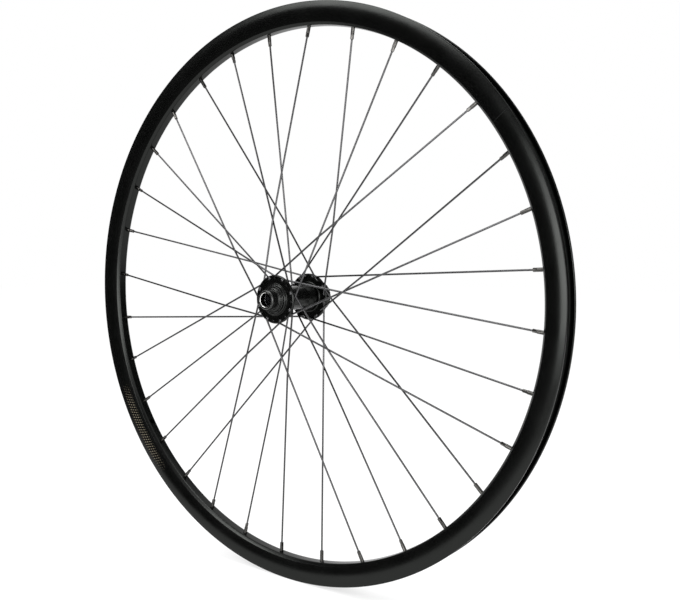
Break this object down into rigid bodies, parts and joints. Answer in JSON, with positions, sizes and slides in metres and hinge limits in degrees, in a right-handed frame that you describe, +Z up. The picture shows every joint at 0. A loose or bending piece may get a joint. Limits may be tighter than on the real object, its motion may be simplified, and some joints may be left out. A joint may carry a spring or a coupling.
{
  "type": "bicycle front wheel",
  "caption": "Spoked bicycle front wheel with a hollow hooked aluminium rim, interlaced wire spokes and a disc-brake hub that turns on cartridge bearings round a through-axle.",
  "frame": {"origin": "centre of the wheel: on the axle's axis, in the rim's middle plane, half way between the axle's two ends", "axes": "+Y along the axle towards the disc side, +Z up, +X towards the front when the wheel is in a bicycle seen from its right"},
  "size_m": [0.634, 0.1, 0.634],
  "materials": {
    "black_anodised_rim": "satin black anodised",
    "black_anodised_hub": "black anodised, turned",
    "black_anodised_cap": "black anodised, turned",
    "grey_anodised": "clear anodised, turned",
    "black_steel_wire": "black oxide on stainless wire",
    "dark_nickel": "dark nickel plate on brass",
    "bearing_steel": "ground and polished",
    "cage_nylon": "moulded nylon",
    "seal_rubber": "moulded rubber",
    "ring_rubber": "moulded rubber"
  },
  "bodies": {
    "axle": {"axle_sleeve": "grey_anodised", "right_end_cap": "black_anodised_cap", "left_end_cap": "black_anodised_cap", "right_cap_ring": "ring_rubber", "left_cap_ring": "ring_rubber", "right_bearing_inner_race": "bearing_steel", "left_bearing_inner_race": "bearing_steel"},
    "wheel": {"rim": "black_anodised_rim", "spoke_nipples": "dark_nickel", "hub_shell": "black_anodised_hub", "right_spoke_01": "black_steel_wire", "right_spoke_02": "black_steel_wire", "right_spoke_03": "black_steel_wire", "right_spoke_04": "black_steel_wire", "right_spoke_05": "black_steel_wire", "right_spoke_06": "black_steel_wire", "right_spoke_07": "black_steel_wire", "right_spoke_08": "black_steel_wire", "right_spoke_09": "black_steel_wire", "right_spoke_10": "black_steel_wire", "right_spoke_11": "black_steel_wire", "right_spoke_12": "black_steel_wire", "right_spoke_13": "black_steel_wire", "right_spoke_14": "black_steel_wire", "right_spoke_15": "black_steel_wire", "right_spoke_16": "black_steel_wire", "left_spoke_01": "black_steel_wire", "left_spoke_02": "black_steel_wire", "left_spoke_03": "black_steel_wire", "left_spoke_04": "black_steel_wire", "left_spoke_05": "black_steel_wire", "left_spoke_06": "black_steel_wire", "left_spoke_07": "black_steel_wire", "left_spoke_08": "black_steel_wire", "left_spoke_09": "black_steel_wire", "left_spoke_10": "black_steel_wire", "left_spoke_11": "black_steel_wire", "left_spoke_12": "black_steel_wire", "left_spoke_13": "black_steel_wire", "left_spoke_14": "black_steel_wire", "left_spoke_15": "black_steel_wire", "left_spoke_16": "black_steel_wire", "right_bearing_outer_race": "bearing_steel", "left_bearing_outer_race": "bearing_steel", "right_bearing_seals": "seal_rubber", "left_bearing_seals": "seal_rubber"},
    "right_ball_set": {"right_bearing_balls": "bearing_steel", "right_bearing_cage": "cage_nylon"},
    "left_ball_set": {"left_bearing_balls": "bearing_steel", "left_bearing_cage": "cage_nylon"}
  },
  "joints": [
    {"name": "wheel_spin", "type": "hinge", "parent": "axle", "child": "wheel", "pos_m": [0, 0, 0], "axis": [0, 1, 0], "continuous": true},
    {"name": "right_balls_roll", "type": "hinge", "parent": "axle", "child": "right_ball_set", "pos_m": [0, 0, 0], "axis": [0, 1, 0], "continuous": true},
    {"name": "left_balls_roll", "type": "hinge", "parent": "axle", "child": "left_ball_set", "pos_m": [0, 0, 0], "axis": [0, 1, 0], "continuous": true}
  ],
  "couplings": [
    {"joint": "right_balls_roll", "follows": "wheel_spin", "ratio": 0.58511},
    {"joint": "left_balls_roll", "follows": "wheel_spin", "ratio": 0.58511}
  ]
}
